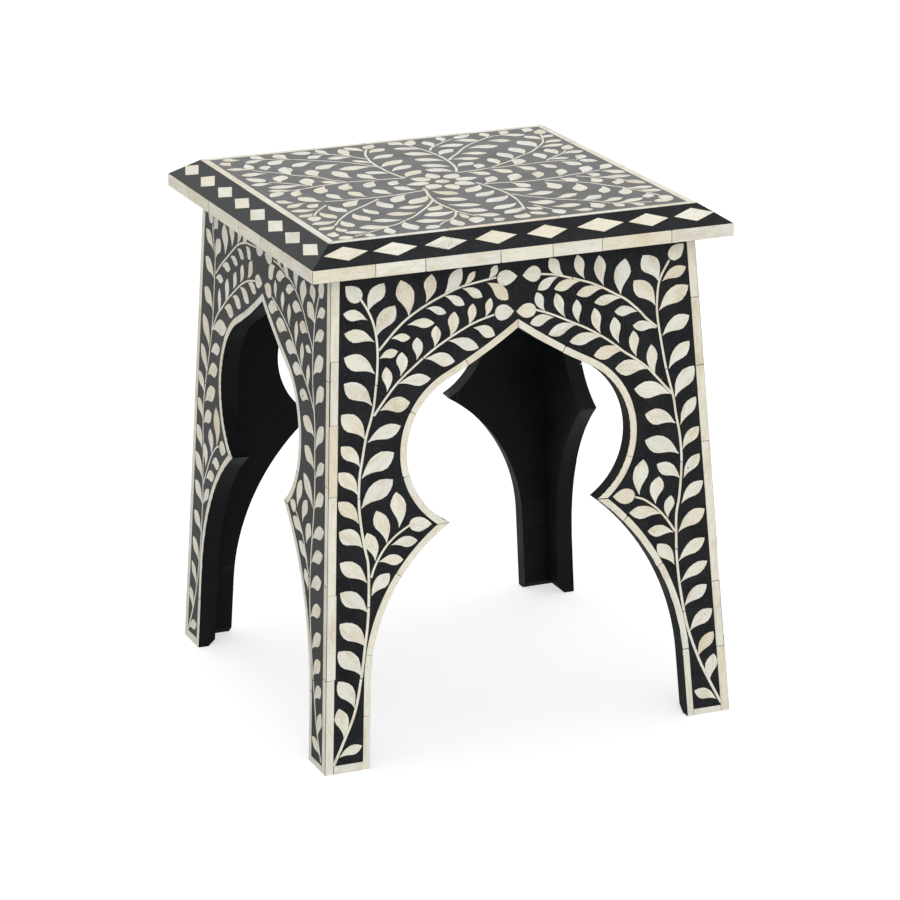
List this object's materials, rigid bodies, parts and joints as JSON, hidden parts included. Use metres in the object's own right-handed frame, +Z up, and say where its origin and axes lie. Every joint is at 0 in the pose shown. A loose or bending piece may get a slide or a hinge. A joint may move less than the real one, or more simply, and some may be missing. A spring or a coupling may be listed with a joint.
{
  "type": "stool",
  "caption": "Low square wooden stool with four splayed arched sides and a bevelled top, inlaid with bone leaves in dark resin",
  "frame": {"origin": "on the floor under the centre of the top", "axes": "+X to the right of the front side, +Y to the back, +Z up"},
  "size_m": [0.38, 0.38, 0.457],
  "materials": {
    "bone": "polished bone, satin",
    "resin": "black resin, polished",
    "painted_wood": "black paint, satin"
  },
  "bodies": {
    "root": {"top_board": "painted_wood", "top_ground": "resin", "top_border_strips": "bone", "top_stems": "bone", "top_leaves": "bone", "top_rosette": "bone", "side_panel_front": "painted_wood", "side_ground_front": "resin", "side_stems_front": "bone", "side_leaves_front": "bone", "corner_strips_front": "bone", "foot_strips_front": "bone", "arch_edging_front": "bone", "rim_slabs_front": "bone", "bevel_ground_front": "resin", "bevel_diamonds_front": "bone", "cleat_front": "painted_wood", "side_panel_right": "painted_wood", "side_ground_right": "resin", "side_stems_right": "bone", "side_leaves_right": "bone", "corner_strips_right": "bone", "foot_strips_right": "bone", "arch_edging_right": "bone", "rim_slabs_right": "bone", "bevel_ground_right": "resin", "bevel_diamonds_right": "bone", "cleat_right": "painted_wood", "side_panel_back": "painted_wood", "side_ground_back": "resin", "side_stems_back": "bone", "side_leaves_back": "bone", "corner_strips_back": "bone", "foot_strips_back": "bone", "arch_edging_back": "bone", "rim_slabs_back": "bone", "bevel_ground_back": "resin", "bevel_diamonds_back": "bone", "cleat_back": "painted_wood", "side_panel_left": "painted_wood", "side_ground_left": "resin", "side_stems_left": "bone", "side_leaves_left": "bone", "corner_strips_left": "bone", "foot_strips_left": "bone", "arch_edging_left": "bone", "rim_slabs_left": "bone", "bevel_ground_left": "resin", "bevel_diamonds_left": "bone", "cleat_left": "painted_wood", "corner_block_front_left": "painted_wood", "corner_block_front_right": "painted_wood", "corner_block_back_right": "painted_wood", "corner_block_back_left": "painted_wood"}
  },
  "joints": []
}
